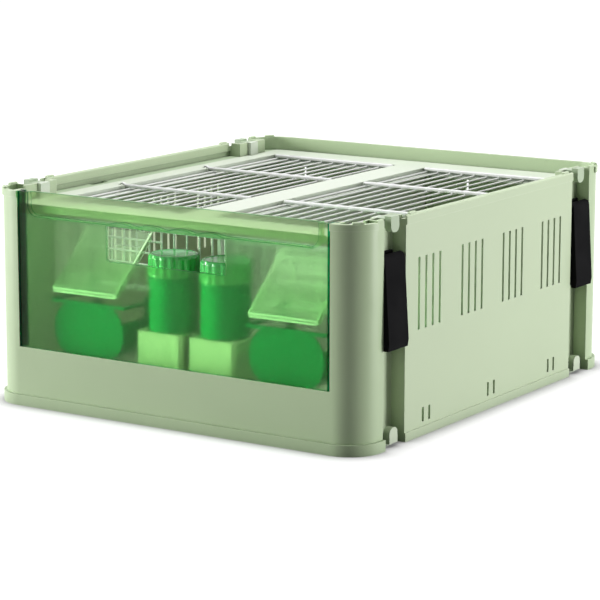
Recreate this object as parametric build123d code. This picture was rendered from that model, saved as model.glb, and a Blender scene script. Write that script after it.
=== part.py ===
"""Two-compartment bird carrier: a knock-down box of moulded walls with wire lids.

Frame: origin at the centre of the footprint on the floor, +X to the right as seen
from the front, +Y to the back, +Z up. Millimetres throughout.
"""
from build123d import *
import math
import os

# Overall body
WIDTH = 400.0            # over the side walls' outer faces
DEPTH = 458.0            # front face to back face
HEIGHT = 200.0           # floor to the top rim
WALL = 3.0               # moulded wall thickness
CORNER_R = 29.0          # outer radius of the upright corners
FIT = 0.4                # play between moulded pieces that slot together
PIN_SIDES = 12           # pins, eyes and clips are drawn with this many sides
ROUND_SIDES = 24         # perches and the levers' round tops
DRINKER_SIDES = 28       # bottles, caps and the sockets that they stand in

# Front and rear shells
SHELL_SIDE = 36.7        # how far a shell reaches along each side
FOOT_H = 10.0            # foot band round the bottom of a shell
FOOT_OUT = 3.0           # how far the foot band stands out
RIM_H = 6.0              # bead round the top of a shell
RIM_OUT = 1.5            # how far the bead stands out
RIM_GAP = 11.0           # bead stops this far short of the shell's end
SLOT_W = 3.5             # width of every ventilation slot
HANG_SLOT_H = 14.0       # hanging slots in the back wall
HANG_SLOT_TOP = 172.0
HANG_SLOT_MID = 98.0     # middle of each pair of hanging slots
HANG_SLOT_OFF = 52.0     # from that middle to each slot

# Groove between a shell and a side panel
GROOVE = 36.3            # width of the groove
GROOVE_DEPTH = 14.0      # depth of its floor below the side face
FLANGE_LAP = 6.7         # how far the panel's flange reaches behind the shell's return

# Side panels
BAND_H = 8.0             # thicker bands along the top and bottom
BAND_OUT = 1.2
RIM_W = 6.0              # width of the panel's top rim
VENT_GROUPS = 4
VENT_PER_GROUP = 4
VENT_PITCH = 12.1
VENT_GROUP_PITCH = 76.4
VENT_BOTTOM = 96.0
VENT_H = 64.5
LOW_SLOT_PITCH = 118.5
LOW_SLOT_GAP = 11.3
LOW_SLOT_BOTTOM = 12.0
LOW_SLOT_H = 13.0
END_NOTCH = 6.0          # notch in the top rim beside each groove

# Front window
WINDOW_W = 338.0
SILL_H = 55.0
WINDOW_T = 2.5
WINDOW_SET = 0.5         # window face behind the shell's face
TONGUE = 3.2             # tongue that runs in the shell's guide
TONGUE_T = 2.2
WINDOW_RETURN = 10.0     # depth of the window's side returns
GRIP_W = 314.0           # band along the top that is set in for the fingers
GRIP_H = 22.0
GRIP_DEEP = 5.0
GRIP_R = 10.0
GRIP_WALL = 1.5
WAVE_COUNT = 4           # waves in the band's lower edge over the cut-out
WAVE_RISE = 2.2
WAVE_R = 45.0
HATCH_W = 129.0          # cut-out below the band
HATCH_BOTTOM = 144.5
HATCH_OFF = -3.0         # its middle, from the window's middle

# Roof frame and wire lids
ROOF_TOP = 186.5         # upper face of the roof frame
ROOF_T = 5.0
REBATE_T = 2.0           # flange that the lids lie on
REBATE_W = 8.0
RAIL_HALF = 17.0         # half width of the rail between the lids
LID_SIDE = 163.0         # outer edge of each lid bay, from the middle
LID_END = 190.0          # front and rear edges of the lid bays, from the middle
LID_PLAY = 1.5           # round each lid in its bay
LID_WIRES = 11
WIRE_R = 1.0             # thin wires
BAR_R = 1.75             # thick cross bars
HINGED_BAR = 70.0        # the two hinged cross bars, from the middle
LID_LIE = 0.3            # lid wires lie this far above the rebate
EYE_R = 3.2              # rolled eye at the end of a hinged bar
HINGE_PIN_R = 1.5
RUN = 0.05               # radial play of a pin or rod in its hole
HINGE_POCKET = 9.0
LEDGE_W = 5.0            # ribs inside the walls that carry the roof frame
LEDGE_H = 4.0
NOTCH_Y = -76.0          # finger notch in the roof frame's side edges
NOTCH_L = 24.0
NOTCH_D = 7.0

# Pegs of the roof frame and floor tray that key into the grooves
PEG_W = 13.4
PEG_H = 12.0             # upper pegs, down from the rim
LOW_PEG_TOP = 17.0       # lower pegs, up from the floor
PEG_T = 6.5
PEG_ARM = 8.0            # height of the arm behind each peg
PEG_RISE = 2.0           # upper pegs stand this far above the rim
STUD_H = 2.0             # stacking studs on the rims
STUD_L = 10.0
STUD_W = 3.0
STUD_SHIFT = 0.6         # corner studs stand this far outside the wall's middle

# Floor tray and divider
FLOOR_T = 3.0
TRAY_RIM = 14.0
TRAY_RIM_T = 2.0
DIVIDER_T = 4.0
GUIDE_H = 4.0            # ribs each side of the divider on the back wall

# Wire front behind the service bay
BAY_DEPTH = 75.0         # front face to the plane of the upright wires
WIRE_PITCH = 14.2
WIRE_SHIFT = -3.9        # middle upright wire, from the carrier's middle
UPRIGHT_TOP = 176.0
HOOD_BAR_Z = 163.0       # bar that the hoods swing on
HANG_BAR_Z = 106.0       # bar that the feeders hook on
REST_BAR_Z = 46.0        # bar under the drinkers' spouts
FOOT_BAR_Z = 12.0
GUARD_PITCH = 11.2       # thin level wires behind each hood
GUARD_COUNT = 3
GUARD_PAST = 10.0        # guard wires reach this far past the hood

# Feeders
CUP_GAP = 13.3           # from a trough's side to the cup beside it, before the shift
FEEDER_SHIFT = 4.0       # both hang this far to the right of even
CUP_W = 82.0
CUP_DEPTH = 53.6
CUP_TOP = 100.0
CUP_BOTTOM = 46.0
CUP_R = 26.0
CUP_WALL = 2.0
CUP_HORN = 16.0          # the cup's back is high only this far in from each side
CUP_LOW = 30.0           # and this much lower between
HOOK_W = 5.0
HOOK_T = 1.6
HOOD_W = 72.0
HOOD_T = 1.6
HOOD_REACH = 57.0        # from the bar to the hood's front edge
HOOD_DROP = 52.0         # the front edge lies this far below the bar
HOOD_LIP = 5.0
HOOD_RIBS = 3
CLIP_T = 1.7

# Drinkers
DRINKER_X = 28.7
DRINKER_CLEAR = 0.5      # between the caps and the upright wires
TROUGH_W = 50.0
TROUGH_TOP = 79.0
TROUGH_H = 39.0
TROUGH_WALL = 1.5
BOTTLE_R = 22.6
BOTTLE_FOOT = 74.0
NECK_R = 20.5
CAP_R = 24.0
CAP_H = 20.0
CAP_TOP = 149.0
CAP_SKIN = 1.7           # thickness of the cap's top
SPOUT_W = 30.0
SPOUT_IN = 24.0          # how far the spout reaches into the cage
SPOUT_H = 22.0
SPOUT_WALL = 2.0

# Latches in the grooves
LATCH_TOP = 170.0
LATCH_H = 81.0
LATCH_W = 33.0
BASE_T = 2.5
CHEEK_T = 2.5
CHEEK_DOWN = 1.0         # cheeks' edges below the side face
PIVOT_DOWN = 4.5         # hinge pin below the side face
PIVOT_Z = 163.0
LATCH_PIN_R = 1.6
LEVER_R = 6.6            # round top of the lever about its pin
LEVER_T = 2.5
LEVER_OUT = 11.0         # lower end of the lever outside the side face
LEVER_FOOT = 87.0
LEVER_TIP = 6.0          # bevelled tip
LEVER_SIDE = 1.8         # side walls of the hollow wedge

# Perches
PERCH_R = 6.0
PERCH_Y = 60.0
PERCH_Z = 62.0
SOCKET_T = 3.0
SOCKET_D = 8.0

HALF_W = WIDTH / 2
HALF_D = DEPTH / 2
SHELL_END = HALF_D - SHELL_SIDE
PANEL_HALF = SHELL_END - GROOVE
GROOVE_MID = (SHELL_END + PANEL_HALF) / 2
FLANGE_X = HALF_W - GROOVE_DEPTH
FLANGE_END = SHELL_END + FLANGE_LAP
INNER_X = HALF_W - WALL
INNER_Y = HALF_D - WALL
ROOF_BOTTOM = ROOF_TOP - ROOF_T
REBATE_BOTTOM = ROOF_BOTTOM - REBATE_T
PEG_FLOOR = HEIGHT - PEG_ARM
WIRE_Z = ROOF_BOTTOM + LID_LIE + WIRE_R
BAR_Z = WIRE_Z + WIRE_R + BAR_R
HINGE_X = LID_SIDE + HINGE_POCKET / 2
HINGED_BARS = (-HINGED_BAR, HINGED_BAR)
WIRE_FRONT_Y = -HALF_D + BAY_DEPTH
BACK_BAR_Y = WIRE_FRONT_Y + WIRE_R + BAR_R
HOOD_BAR_Y = WIRE_FRONT_Y - WIRE_R - BAR_R
BAY_BACK = WIRE_FRONT_Y - WIRE_R - FIT
GUIDE_BACK = -HALF_D + WINDOW_SET + WINDOW_RETURN + FIT + WALL
GUIDE_HALF = WINDOW_W / 2 + TONGUE + FIT + WALL
DIVIDER_GAP = LEDGE_W + FIT
WIRE_REACH = FLANGE_X - WALL - TRAY_RIM_T - 2 * FIT
WIRES_PER_SIDE = int((WIRE_REACH + WIRE_SHIFT - WIRE_R) // WIRE_PITCH)
FEEDER_OUT = DRINKER_X + TROUGH_W / 2 + CUP_GAP + CUP_W / 2
FEEDER_X = {side: side * FEEDER_OUT + FEEDER_SHIFT for side in (-1, 1)}
DRINKER_Y = WIRE_FRONT_Y - WIRE_R - CAP_R - DRINKER_CLEAR


def slab(x0, x1, y0, y1, z0, z1):
    """A box given by its low and high corners, in either order."""
    size = (abs(x1 - x0), abs(y1 - y0), abs(z1 - z0))
    return Pos((x0 + x1) / 2, (y0 + y1) / 2, (z0 + z1) / 2) * Box(*size)


def plan_plate(width, depth, radius, z0, z1):
    """An upright slice of a rounded rectangle centred on the carrier's axis."""
    return Pos(0, 0, z0) * extrude(RectangleRounded(width, depth, radius), z1 - z0)


def ring(grow_out, grow_in, z0, z1):
    """A closed band round the body, between two offsets of its outer outline."""
    outer = plan_plate(WIDTH + 2 * grow_out, DEPTH + 2 * grow_out, CORNER_R + grow_out, z0, z1)
    inner = plan_plate(WIDTH + 2 * grow_in, DEPTH + 2 * grow_in, CORNER_R + grow_in, z0, z1)
    return outer - inner


def front_part(solid, end):
    """What lies in front of y = -end."""
    reach = HALF_D + FOOT_OUT + 1
    return solid & slab(-HALF_W - 20, HALF_W + 20, -reach, -end, -1, HEIGHT + 20)


def rod(radius, length, sides, hole):
    """A many-sided rod along Z with its corners at the radius, or its flats if it cuts a hole."""
    return extrude(RegularPolygon(radius, sides, major_radius=not hole), abs(length) / 2, both=True)


def rod_y(x, z, radius, y0, y1, sides=PIN_SIDES, hole=False):
    """A straight rod along Y."""
    return Pos(x, (y0 + y1) / 2, z) * Rot(90, 0, 0) * rod(radius, y1 - y0, sides, hole)


def rod_x(y, z, radius, x0, x1, sides=PIN_SIDES, hole=False):
    """A straight rod along X."""
    return Pos((x0 + x1) / 2, y, z) * Rot(0, 90, 0) * rod(radius, x1 - x0, sides, hole)


def rod_z(x, y, radius, z0, z1, sides=DRINKER_SIDES, hole=False):
    """A straight rod along Z."""
    return Pos(x, y, (z0 + z1) / 2) * rod(radius, z1 - z0, sides, hole)


def wire(radius, start, along, length):
    """A straight wire from a start point, eight-sided with its flats at the wire's radius."""
    section = RegularPolygon(radius, 8, major_radius=False, rotation=180 / 8)
    return Plane(origin=start, z_dir=along) * extrude(section, length)


def wire_along_x(y, z, radius, x0, x1):
    """A wire along X between two ends in either order."""
    return wire(radius, (min(x0, x1), y, z), (1, 0, 0), abs(x1 - x0))


def wire_up(x, z0, z1):
    """An upright wire of the wire front."""
    return wire(WIRE_R, (x, WIRE_FRONT_Y, z0), (0, 0, 1), z1 - z0)


def stud(x, y, turn=0):
    """A low stacking stud standing on the rim, its long side along the wall."""
    block = slab(-STUD_W / 2, STUD_W / 2, -STUD_L / 2, STUD_L / 2, HEIGHT - 1, HEIGHT + STUD_H)
    block = chamfer(block.faces().sort_by(Axis.Z)[-1].edges(), 0.7)
    return Pos(x, y, 0) * Rot(0, 0, turn) * block


def shell_body():
    """The wall that both shells share: rounded corners, foot band, rim bead, ledge and returns."""
    body = front_part(ring(0, -WALL, 0, HEIGHT), SHELL_END)
    body += front_part(ring(FOOT_OUT, -WALL, 0, FOOT_H), SHELL_END)
    body += front_part(ring(RIM_OUT, -WALL, HEIGHT - RIM_H, HEIGHT), SHELL_END + RIM_GAP)
    body += front_part(ring(-WALL / 2, -WALL - LEDGE_W, REBATE_BOTTOM - LEDGE_H, REBATE_BOTTOM), SHELL_END)
    arc = (CORNER_R - WALL / 2 + STUD_SHIFT) * math.sqrt(0.5)
    for side in (-1, 1):
        body += slab(side * (FLANGE_X + FIT), side * HALF_W, -SHELL_END - WALL, -SHELL_END, 0, HEIGHT)
        body += stud(side * (HALF_W - WALL / 2), -SHELL_END - STUD_L / 2 - 1)
        body += stud(side * (HALF_W - CORNER_R + arc), -HALF_D + CORNER_R - arc, side * -45)
    return body


def front_shell():
    """Front wall with the window opening, its sill and the guides that the window slides in."""
    body = shell_body()
    half = WINDOW_W / 2
    body -= slab(-half, half, -HALF_D - 5, -INNER_Y + LEDGE_W + 4, SILL_H, HEIGHT + 1)
    face = -HALF_D
    groove_y = face + WINDOW_SET + WINDOW_RETURN - TONGUE_T
    within = plan_plate(WIDTH - WALL, DEPTH - WALL, CORNER_R - WALL / 2, 0, HEIGHT)
    for side in (-1, 1):
        guide = slab(side * half, side * GUIDE_HALF, face + WALL / 2, GUIDE_BACK, SILL_H - WALL, HEIGHT)
        guide -= slab(side * (half - 1), side * (half + TONGUE + FIT), groove_y - FIT,
                      groove_y + TONGUE_T + FIT, SILL_H, HEIGHT + 1)
        body += guide & within
    return body


def rear_shell():
    """Back wall: the same moulding closed, with hanging slots and guides for the divider."""
    body = mirror(shell_body(), Plane.XZ)
    for middle in (-HANG_SLOT_MID, HANG_SLOT_MID):
        for off in (-HANG_SLOT_OFF, HANG_SLOT_OFF):
            body -= slab(middle + off - SLOT_W / 2, middle + off + SLOT_W / 2, INNER_Y - 1,
                         HALF_D + 1, HANG_SLOT_TOP - HANG_SLOT_H, HANG_SLOT_TOP)
    for side in (-1, 1):
        inner = DIVIDER_T / 2 + FIT
        body += slab(side * inner, side * (inner + WALL), INNER_Y - DIVIDER_GAP - GUIDE_H, INNER_Y + 1,
                     TRAY_RIM + FIT, REBATE_BOTTOM - LEDGE_H)
    return body


def side_panel(side):
    """One side wall: slotted face, thicker bands, and end flanges that form the grooves."""
    body = slab(side * INNER_X, side * HALF_W, -PANEL_HALF, PANEL_HALF, 0, HEIGHT)
    body += slab(side * INNER_X, side * (HALF_W + BAND_OUT), -PANEL_HALF, PANEL_HALF, 0, BAND_H)
    top_in = HALF_W + BAND_OUT - RIM_W
    band = slab(side * top_in, side * (HALF_W + BAND_OUT), -PANEL_HALF, PANEL_HALF,
                HEIGHT - BAND_H, HEIGHT)
    edge = band.edges().filter_by(Axis.Y).group_by(Axis.Z)[-1].sort_by(Axis.X)
    body += chamfer([edge[0], edge[-1]], 0.8)
    body += slab(side * (INNER_X - LEDGE_W), side * (INNER_X + 1), -PANEL_HALF + WALL,
                 PANEL_HALF - WALL, REBATE_BOTTOM - LEDGE_H, REBATE_BOTTOM)
    for end in (-1, 1):
        near = end * PANEL_HALF
        inner = FLANGE_X - WALL
        body += slab(side * inner, side * HALF_W, near - end * WALL, near, 0, HEIGHT)
        flange = slab(side * inner, side * FLANGE_X, near - end * WALL, end * FLANGE_END, 0, HEIGHT)
        arm = PEG_W / 2 + FIT
        for z0, z1 in ((-1, PEG_ARM + FIT), (PEG_FLOOR - FIT, HEIGHT + 1)):
            flange -= slab(side * (inner - 1), side * (FLANGE_X + 1),
                           end * GROOVE_MID - arm, end * GROOVE_MID + arm, z0, z1)
        body += flange
        body -= slab(side * (top_in - 1), side * (HALF_W - 1), near - end * END_NOTCH, near + end,
                     HEIGHT - END_NOTCH / 2, HEIGHT + 1)
        body += stud(side * (HALF_W - WALL / 2), end * (PANEL_HALF - END_NOTCH - STUD_L / 2 - 1))
    cut_x0 = side * (INNER_X - 1)
    cut_x1 = side * (HALF_W + 3)
    for group in range(VENT_GROUPS):
        middle = (group - (VENT_GROUPS - 1) / 2) * VENT_GROUP_PITCH
        for slot in range(VENT_PER_GROUP):
            y = middle + (slot - (VENT_PER_GROUP - 1) / 2) * VENT_PITCH
            body -= slab(cut_x0, cut_x1, y - SLOT_W / 2, y + SLOT_W / 2, VENT_BOTTOM, VENT_BOTTOM + VENT_H)
    for pair in (-1, 0, 1):
        for off in (-LOW_SLOT_GAP / 2, LOW_SLOT_GAP / 2):
            y = pair * LOW_SLOT_PITCH + off
            body -= slab(cut_x0, cut_x1, y - SLOT_W / 2, y + SLOT_W / 2,
                         LOW_SLOT_BOTTOM, LOW_SLOT_BOTTOM + LOW_SLOT_H)
    cradle = perch_cradle(INNER_X - SOCKET_D, INNER_X + WALL / 2, INNER_X)
    return body + (cradle if side > 0 else mirror(cradle, Plane.YZ))


def perch_cradle(x0, x1, wall_x):
    """A cradle open at the top, reaching from x0 into the wall that starts at wall_x."""
    outer = PERCH_R + FIT + SOCKET_T
    inner = PERCH_R + FIT
    block = slab(x0, x1, PERCH_Y - outer, PERCH_Y + outer, PERCH_Z - outer, PERCH_Z + PERCH_R)
    block = fillet(block.edges().filter_by(Axis.X).group_by(Axis.Z)[0], outer * 0.6)
    hollow = rod_x(PERCH_Y, PERCH_Z, inner, x0 - 1, wall_x, ROUND_SIDES, hole=True)
    hollow += slab(x0 - 1, wall_x, PERCH_Y - inner, PERCH_Y + inner, PERCH_Z, PERCH_Z + PERCH_R + 1)
    return block - hollow


def inner_outline(gap, z0, z1):
    """The space inside the walls, less a gap, as a plate: wide at the panels, narrow at the grooves."""
    narrow = FLANGE_X - WALL - gap
    wide = INNER_X - gap
    whole = plan_plate(2 * wide, 2 * (INNER_Y - gap), CORNER_R - WALL - gap, z0, z1)
    for sx in (-1, 1):
        for sy in (-1, 1):
            whole -= slab(sx * narrow, sx * (wide + 1), sy * (PANEL_HALF - WALL - gap),
                          sy * (FLANGE_END + gap), z0, z1)
    return whole


def roof_frame():
    """White moulded frame: border, centre rail, rebates for the lids, hinge pockets and four pegs."""
    body = inner_outline(FIT, REBATE_BOTTOM, ROOF_TOP)
    body -= slab(-GUIDE_HALF - FIT, GUIDE_HALF + FIT, -HALF_D, GUIDE_BACK + FIT,
                 REBATE_BOTTOM - 1, ROOF_TOP + 1)
    pocket = BAR_R + 1.2
    wide = INNER_X - FIT
    for side in (-1, 1):
        body -= slab(side * RAIL_HALF, side * LID_SIDE, -LID_END, LID_END, ROOF_BOTTOM, ROOF_TOP + 1)
        body -= slab(side * (RAIL_HALF + REBATE_W), side * (LID_SIDE - REBATE_W),
                     -LID_END + REBATE_W, LID_END - REBATE_W, REBATE_BOTTOM - 1, ROOF_TOP)
        for y in HINGED_BARS:
            body -= slab(side * (LID_SIDE - 1), side * (LID_SIDE + HINGE_POCKET), y - pocket, y + pocket,
                         REBATE_BOTTOM - 1, ROOF_TOP + 1)
            body += rod_y(side * HINGE_X, BAR_Z, HINGE_PIN_R, y - pocket - 1, y + pocket + 1)
        body -= slab(side * (wide - NOTCH_D), side * (wide + 1), NOTCH_Y - NOTCH_L / 2,
                     NOTCH_Y + NOTCH_L / 2, REBATE_BOTTOM - 1, ROOF_TOP + 1)
        for end in (-1, 1):
            body += roof_peg(side, end)
    return body


def roof_peg(side, end):
    """A peg on a stepped arm, hanging in the top of a groove with its lower end round."""
    root = FLANGE_X - WALL - FIT
    y0 = end * GROOVE_MID - PEG_W / 2
    y1 = y0 + PEG_W
    riser = slab(side * (root - WALL), side * root, y0, y1, REBATE_BOTTOM, HEIGHT)
    arm = slab(side * (root - WALL), side * (HALF_W - PEG_T + 1), y0, y1, PEG_FLOOR, HEIGHT)
    tab = slab(side * (HALF_W - PEG_T), side * HALF_W, y0, y1, HEIGHT - PEG_H, HEIGHT + PEG_RISE)
    low = tab.edges().filter_by(Axis.X).group_by(Axis.Z)[0]
    return riser + arm + fillet(low, PEG_W * 0.42)


def floor_tray():
    """Flat floor with a low rim, and four pegs that stand up in the foot of the grooves."""
    body = inner_outline(FIT, 0, TRAY_RIM) - inner_outline(FIT + TRAY_RIM_T, FLOOR_T, TRAY_RIM + 1)
    root = FLANGE_X - WALL - FIT
    for side in (-1, 1):
        for end in (-1, 1):
            y0 = end * GROOVE_MID - PEG_W / 2
            y1 = y0 + PEG_W
            body += slab(side * (root - 1), side * (HALF_W - PEG_T + 1), y0, y1, 0, PEG_ARM)
            tab = slab(side * (HALF_W - PEG_T), side * HALF_W, y0, y1, FLOOR_T, LOW_PEG_TOP)
            high = tab.edges().filter_by(Axis.X).group_by(Axis.Z)[-1]
            body += fillet(high, PEG_W * 0.42)
    return body


def wave_crests(shrink):
    """Shallow round crests along the lower edge of the window's set-in band."""
    pitch = HATCH_W / WAVE_COUNT
    crests = []
    for i in range(WAVE_COUNT):
        x = HATCH_OFF + (i - (WAVE_COUNT - 1) / 2) * pitch
        z = HEIGHT - GRIP_H + WAVE_RISE - WAVE_R
        disc = Pos(x, -HALF_D, z) * Rot(90, 0, 0) * Cylinder(WAVE_R - shrink, 4 * WINDOW_RETURN)
        low = slab(x - pitch / 2, x + pitch / 2, -HALF_D - GRIP_H, -HALF_D + GRIP_H,
                   HEIGHT - 2 * GRIP_H, HEIGHT)
        crests.append(disc & low)
    return crests


def front_window():
    """Clear green window with side returns and tongues, a set-in finger band and a cut-out below it."""
    half = WINDOW_W / 2 - FIT
    face = -HALF_D + WINDOW_SET
    back = face + WINDOW_RETURN
    z0 = SILL_H + FIT / 2
    body = slab(-half, half, face, face + WINDOW_T, z0, HEIGHT)
    for side in (-1, 1):
        body += slab(side * (half - WINDOW_T), side * half, face, back, z0, HEIGHT)
        body += slab(side * (half - WINDOW_T), side * (half + TONGUE), back - TONGUE_T, back, z0, HEIGHT)
    low = HEIGHT - GRIP_H

    def band(grow, y0, y1):
        block = slab(-GRIP_W / 2 - grow, GRIP_W / 2 + grow, y0, y1, low - grow, HEIGHT + 1)
        return fillet(block.edges().filter_by(Axis.Y).group_by(Axis.Z)[0], GRIP_R + grow)

    floor_y = face + GRIP_DEEP
    pan = band(GRIP_WALL, face, floor_y + WINDOW_T)
    hollow = band(0, face - 1, floor_y)
    for crest in wave_crests(0):
        hollow -= crest
    body += pan & slab(-half, half, face, back, z0, HEIGHT)
    body -= hollow
    hatch = slab(HATCH_OFF - HATCH_W / 2, HATCH_OFF + HATCH_W / 2, face - 1, face + WINDOW_T + 1,
                 HATCH_BOTTOM, low - GRIP_WALL)
    body -= fillet(hatch.edges().filter_by(Axis.Y).group_by(Axis.Z)[0], 3)
    return body


def wire_x(k):
    """Place of an upright wire, counted from the middle one."""
    return WIRE_SHIFT + k * WIRE_PITCH


def between_wires(x):
    """The middle of the gap between uprights that x falls in."""
    return wire_x(math.floor((x - WIRE_SHIFT) / WIRE_PITCH) + 0.5)


def wire_front():
    """Upright wires across the carrier on thick bars, open where birds reach cups and spouts."""
    pieces = []
    for k in range(-WIRES_PER_SIDE, WIRES_PER_SIDE + 1):
        x = wire_x(k)
        side = 1 if x > 0 else -1
        at_cup = abs(x - FEEDER_X[side]) < CUP_W / 2 - WIRE_PITCH / 2
        at_spout = abs(x - side * DRINKER_X) < SPOUT_W / 2 + WIRE_R + FIT
        if at_cup or at_spout:
            pieces.append(wire_up(x, FLOOR_T, REST_BAR_Z + BAR_R))
            pieces.append(wire_up(x, HANG_BAR_Z - BAR_R, UPRIGHT_TOP))
        else:
            pieces.append(wire_up(x, FLOOR_T, UPRIGHT_TOP))
    for z in (FOOT_BAR_Z, REST_BAR_Z, HANG_BAR_Z):
        pieces.append(wire_along_x(BACK_BAR_Y, z, BAR_R, -WIRE_REACH, WIRE_REACH))
    pieces.append(rod_x(HOOD_BAR_Y, HOOD_BAR_Z, BAR_R, -WIRE_REACH, WIRE_REACH))
    for side in (-1, 1):
        x0 = FEEDER_X[side] - HOOD_W / 2 - GUARD_PAST
        x1 = FEEDER_X[side] + HOOD_W / 2 + GUARD_PAST
        for i in range(1, GUARD_COUNT + 1):
            z = HOOD_BAR_Z - i * GUARD_PITCH
            pieces.append(wire_along_x(WIRE_FRONT_Y - 2 * WIRE_R, z, WIRE_R, x0, x1))
    return Compound(children=pieces)


def centre_divider():
    """Upright partition between the two compartments, under the roof frame's rail."""
    half = DIVIDER_T / 2
    y0 = BACK_BAR_Y + BAR_R + FIT
    body = slab(-half, half, y0, INNER_Y - DIVIDER_GAP, FLOOR_T, REBATE_BOTTOM)
    cradle = perch_cradle(-half - SOCKET_D, 0, -half)
    return body + cradle + mirror(cradle, Plane.YZ)


def perch(side):
    """A wooden dowel lying in the cradles of one compartment."""
    x0 = side * (DIVIDER_T / 2 + FIT)
    return rod_x(PERCH_Y, PERCH_Z - FIT, PERCH_R, x0, side * (INNER_X - FIT), ROUND_SIDES)


def wire_lid(side):
    """One lid: thin wires front to back, welded under four bars, two of them rolled into hinge eyes."""
    inner = RAIL_HALF + LID_PLAY
    outer = LID_SIDE - LID_PLAY
    end = LID_END - LID_PLAY
    first = inner + WIRE_R + LID_PLAY
    pitch = (outer - inner - 2 * (WIRE_R + LID_PLAY)) / (LID_WIRES - 1)
    pieces = []
    for i in range(LID_WIRES):
        pieces.append(wire(WIRE_R, (side * (first + i * pitch), -end, WIRE_Z), (0, 1, 0), 2 * end))
    for y in (-end + BAR_R, end - BAR_R):
        pieces.append(wire_along_x(y, BAR_Z, BAR_R, side * inner, side * outer))
    for y in HINGED_BARS:
        bar = wire_along_x(y, BAR_Z, BAR_R, side * inner, side * HINGE_X)
        bar += rod_y(side * HINGE_X, BAR_Z, EYE_R, y - BAR_R, y + BAR_R)
        hole = rod_y(side * HINGE_X, BAR_Z, HINGE_PIN_R + RUN, y - EYE_R, y + EYE_R, hole=True)
        pieces.append(bar - hole)
    return Compound(children=pieces)


def feeder_cup(side):
    """Seed cup: round-bottomed bowl with a low back, hung by two hooks through the wire front."""
    y0 = BAY_BACK - CUP_DEPTH
    half = CUP_W / 2

    def bowl(shrink, top):
        w = half - shrink
        low = CUP_BOTTOM + shrink
        with BuildSketch(Plane.XZ) as face:
            with BuildLine():
                Polyline((-w, top), (-w + 4, low), (w - 4, low), (w, top), close=True)
            make_face()
            fillet(face.vertices().group_by(Axis.Z)[0], CUP_R - shrink)
        return Pos(0, BAY_BACK - shrink, 0) * extrude(face.sketch, BAY_BACK - y0 - 2 * shrink, dir=(0, -1, 0))

    body = bowl(0, CUP_TOP) - bowl(CUP_WALL, CUP_TOP + 5)
    rim = slab(-half - 1.2, half + 1.2, y0 - 1.2, BAY_BACK, CUP_TOP - 3, CUP_TOP)
    rim -= slab(-half + 1, half - 1, y0 + 1, BAY_BACK - CUP_WALL, CUP_TOP - 4, CUP_TOP + 1)
    body += rim
    body -= slab(-half + CUP_HORN, half - CUP_HORN, BAY_BACK - CUP_WALL - 1, BAY_BACK + 1,
                 CUP_TOP - CUP_LOW, CUP_TOP + 1)
    top = HANG_BAR_Z + BAR_R + FIT
    back = BACK_BAR_Y + BAR_R + FIT
    for near in (-half + 8, half - 8):
        x = between_wires(FEEDER_X[side] + near) - FEEDER_X[side]
        x0 = x - HOOK_W / 2
        x1 = x + HOOK_W / 2
        body += slab(x0, x1, BAY_BACK - CUP_WALL, BAY_BACK, CUP_TOP - 6, top + HOOK_T)
        body += slab(x0, x1, BAY_BACK - CUP_WALL, back + HOOK_T, top, top + HOOK_T)
        body += slab(x0, x1, back, back + HOOK_T, top - 2 * BAR_R, top + HOOK_T)
    return Pos(FEEDER_X[side], 0, 0) * body


def feeder_hood(side):
    """Clear sloping hood over a cup, with side lips and level ribs, swinging on two clips round a bar."""
    length = math.hypot(HOOD_REACH, HOOD_DROP)
    slope = math.degrees(math.atan2(HOOD_DROP, HOOD_REACH))
    hole = BAR_R + RUN
    start = hole + CLIP_T / 2
    half = HOOD_W / 2
    ridge = HOOD_T / 2 + 0.8
    plate = slab(-half, half, -length, -start - 1, -HOOD_T / 2, HOOD_T / 2)
    for x in (-half + HOOD_T / 2, half - HOOD_T / 2):
        plate += slab(x - HOOD_T / 2, x + HOOD_T / 2, -length, -start - 4, -HOOD_LIP, HOOD_T / 2)
    plate += slab(-half, half, -length, -length + HOOD_T, -HOOD_LIP, ridge)
    for i in range(1, HOOD_RIBS + 1):
        y = -start - i * (length - start) / (HOOD_RIBS + 1)
        plate += slab(-half + 4, half - 4, y - 0.7, y + 0.7, 0, ridge)
    for near in (-half + 10, half - 10):
        x = between_wires(FEEDER_X[side] + near) - FEEDER_X[side]
        plate += rod_x(0, 0, hole + CLIP_T, x - HOOK_W / 2, x + HOOK_W / 2)
        plate += slab(x - HOOK_W / 2, x + HOOK_W / 2, -start - 4, 0, -HOOD_T / 2, HOOD_T / 2)
    plate -= rod_x(0, 0, hole, -HOOD_W, HOOD_W, hole=True)
    return Pos(FEEDER_X[side], HOOD_BAR_Y, HOOD_BAR_Z) * Rot(slope, 0, 0) * plate


def drinker_trough(side):
    """Water trough under a bottle, with a spout that reaches through the wire front."""
    half = TROUGH_W / 2
    y0 = DRINKER_Y - BOTTLE_R - FIT - TROUGH_WALL
    body = slab(-half, half, y0, BAY_BACK, TROUGH_TOP - TROUGH_H, TROUGH_TOP)
    body = chamfer(body.edges().filter_by(Axis.Z), 3)
    body -= rod_z(0, DRINKER_Y, BOTTLE_R + FIT, BOTTLE_FOOT, TROUGH_TOP + 1, hole=True)
    low = REST_BAR_Z + BAR_R + FIT
    spout = slab(-SPOUT_W / 2, SPOUT_W / 2, BAY_BACK - 1, BAY_BACK + SPOUT_IN, low, low + SPOUT_H)
    body += chamfer(spout.edges().filter_by(Axis.Z).group_by(Axis.Y)[-1], 4)
    body -= slab(-SPOUT_W / 2 + SPOUT_WALL, SPOUT_W / 2 - SPOUT_WALL, BAY_BACK + TROUGH_WALL,
                 BAY_BACK + SPOUT_IN - SPOUT_WALL, low + SPOUT_WALL, low + SPOUT_H + 1)
    return Pos(side * DRINKER_X, 0, 0) * body


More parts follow.
